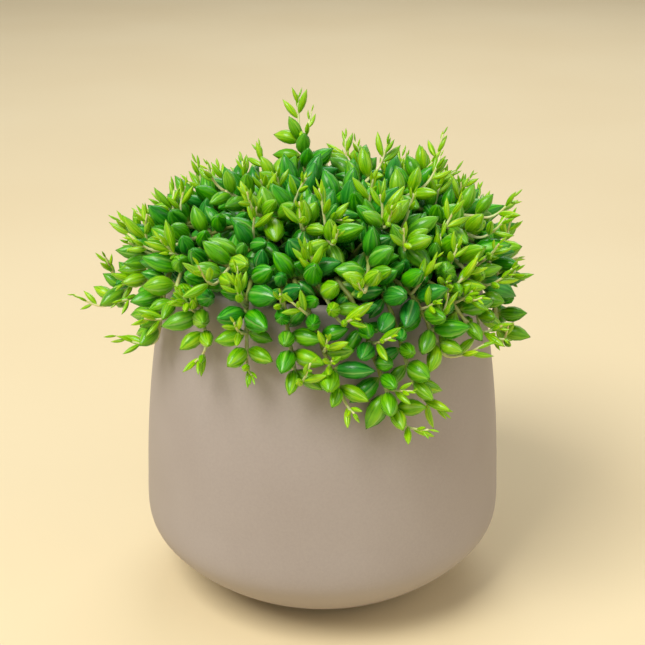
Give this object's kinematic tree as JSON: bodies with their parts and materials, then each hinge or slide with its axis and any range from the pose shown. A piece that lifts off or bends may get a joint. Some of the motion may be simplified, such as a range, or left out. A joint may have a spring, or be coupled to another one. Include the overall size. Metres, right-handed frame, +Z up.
{
  "type": "potted string of pearls",
  "caption": "Trailing succulent whose plump pointed leaves mound over and hang down the rim of a round-bellied matte ceramic pot filled with potting mix.",
  "frame": {"origin": "centre of the pot's flat base, where it stands", "axes": "+Z up; -Y towards the front, where the longest strands hang; +X to the right as seen from the front"},
  "size_m": [0.1617, 0.1529, 0.1717],
  "materials": {
    "ceramic": null,
    "potting_mix": null,
    "succulent": null
  },
  "bodies": {
    "root": {"pot": "ceramic", "potting_mix": "potting_mix", "strand_01": "succulent", "strand_02": "succulent", "strand_03": "succulent", "strand_04": "succulent", "strand_05": "succulent", "strand_06": "succulent", "strand_07": "succulent", "strand_08": "succulent", "strand_09": "succulent", "strand_10": "succulent", "strand_11": "succulent", "strand_12": "succulent", "strand_13": "succulent", "strand_14": "succulent", "strand_15": "succulent", "strand_16": "succulent", "strand_17": "succulent", "strand_18": "succulent", "strand_19": "succulent", "strand_20": "succulent", "strand_21": "succulent", "strand_22": "succulent", "strand_23": "succulent", "strand_24": "succulent", "strand_25": "succulent", "strand_26": "succulent", "strand_27": "succulent", "strand_28": "succulent", "strand_29": "succulent", "strand_30": "succulent", "strand_31": "succulent", "strand_32": "succulent", "strand_33": "succulent", "strand_34": "succulent", "strand_35": "succulent", "strand_36": "succulent", "strand_37": "succulent", "strand_38": "succulent", "strand_39": "succulent", "strand_40": "succulent", "strand_41": "succulent", "strand_42": "succulent", "strand_43": "succulent", "strand_44": "succulent", "strand_45": "succulent", "strand_46": "succulent", "strand_47": "succulent", "strand_48": "succulent", "strand_49": "succulent", "strand_50": "succulent", "strand_51": "succulent", "strand_52": "succulent", "strand_53": "succulent"}
  },
  "joints": []
}
